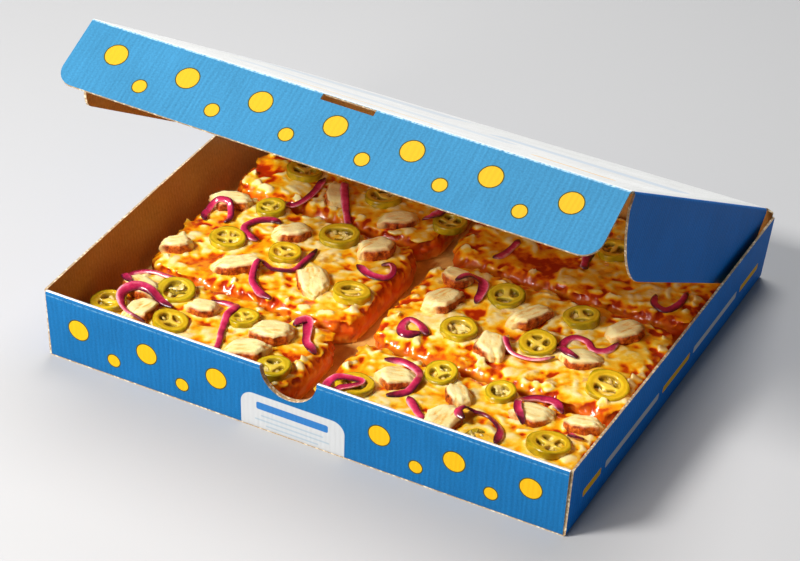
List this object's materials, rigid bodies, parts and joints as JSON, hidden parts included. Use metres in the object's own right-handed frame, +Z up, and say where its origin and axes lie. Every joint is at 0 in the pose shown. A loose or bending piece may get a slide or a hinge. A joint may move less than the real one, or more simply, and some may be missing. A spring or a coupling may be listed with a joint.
{
  "type": "pizza in a takeaway box",
  "caption": "Rectangular pan pizza cut into slices, topped with pepper rings, chicken and onion, in an open corrugated takeaway box with a hinged lid and tuck flap.",
  "frame": {"origin": "middle of the underside of the box's tray", "axes": "+X along the box's width, to the right as seen from the front; +Y from the front wall with the thumb notch to the hinged back wall; +Z up"},
  "size_m": [0.3448, 0.2945, 0.1964],
  "materials": {
    "blue_board": "printed blue corrugated board, satin, with bare brown board inside",
    "white_board": "white coated corrugated board, satin, with bare brown board inside",
    "cheese": "baked dough, sauce and melted cheese, slightly oily",
    "pepper_green": "wet pickled pepper, glossy",
    "chicken_white": "cooked chicken breast, matte with a browned rim",
    "onion_purple": "roasted red onion, glossy"
  },
  "bodies": {
    "tray": {"box_tray": "blue_board", "slice_left_front": "cheese", "slice_right_front": "cheese", "slice_left_middle": "cheese", "slice_right_middle": "cheese", "slice_left_back": "cheese", "slice_right_back": "cheese", "pepper_01": "pepper_green", "pepper_02": "pepper_green", "pepper_03": "pepper_green", "pepper_04": "pepper_green", "pepper_05": "pepper_green", "pepper_06": "pepper_green", "pepper_07": "pepper_green", "pepper_08": "pepper_green", "pepper_09": "pepper_green", "pepper_10": "pepper_green", "pepper_11": "pepper_green", "pepper_12": "pepper_green", "pepper_13": "pepper_green", "pepper_14": "pepper_green", "pepper_15": "pepper_green", "pepper_16": "pepper_green", "pepper_17": "pepper_green", "pepper_18": "pepper_green", "pepper_19": "pepper_green", "pepper_20": "pepper_green", "pepper_21": "pepper_green", "chicken_01": "chicken_white", "chicken_02": "chicken_white", "chicken_03": "chicken_white", "chicken_04": "chicken_white", "chicken_05": "chicken_white", "chicken_06": "chicken_white", "chicken_07": "chicken_white", "chicken_08": "chicken_white", "chicken_09": "chicken_white", "chicken_10": "chicken_white", "chicken_11": "chicken_white", "chicken_12": "chicken_white", "chicken_13": "chicken_white", "chicken_14": "chicken_white", "chicken_15": "chicken_white", "chicken_16": "chicken_white", "chicken_17": "chicken_white", "chicken_18": "chicken_white", "onion_01": "onion_purple", "onion_02": "onion_purple", "onion_03": "onion_purple", "onion_04": "onion_purple", "onion_05": "onion_purple", "onion_06": "onion_purple", "onion_07": "onion_purple", "onion_08": "onion_purple", "onion_09": "onion_purple", "onion_10": "onion_purple", "onion_11": "onion_purple", "onion_12": "onion_purple"},
    "lid": {"box_lid": "white_board"},
    "tuck_flap": {"box_tuck_flap": "blue_board"}
  },
  "joints": [
    {"name": "lid_hinge", "type": "hinge", "parent": "tray", "child": "lid", "pos_m": [0, 0.1458, 0.0496], "axis": [-1, 0, 0], "range_deg": [-30.05, 50.8]},
    {"name": "flap_hinge", "type": "hinge", "parent": "lid", "child": "tuck_flap", "pos_m": [0, -0.09538, 0.19337], "axis": [-0.9998, 0.01, 0.0167], "range_deg": [-34.4, 58]}
  ],
  "couplings": [
    {"joint": "flap_hinge", "follows": "lid_hinge", "ratio": 1.14}
  ]
}
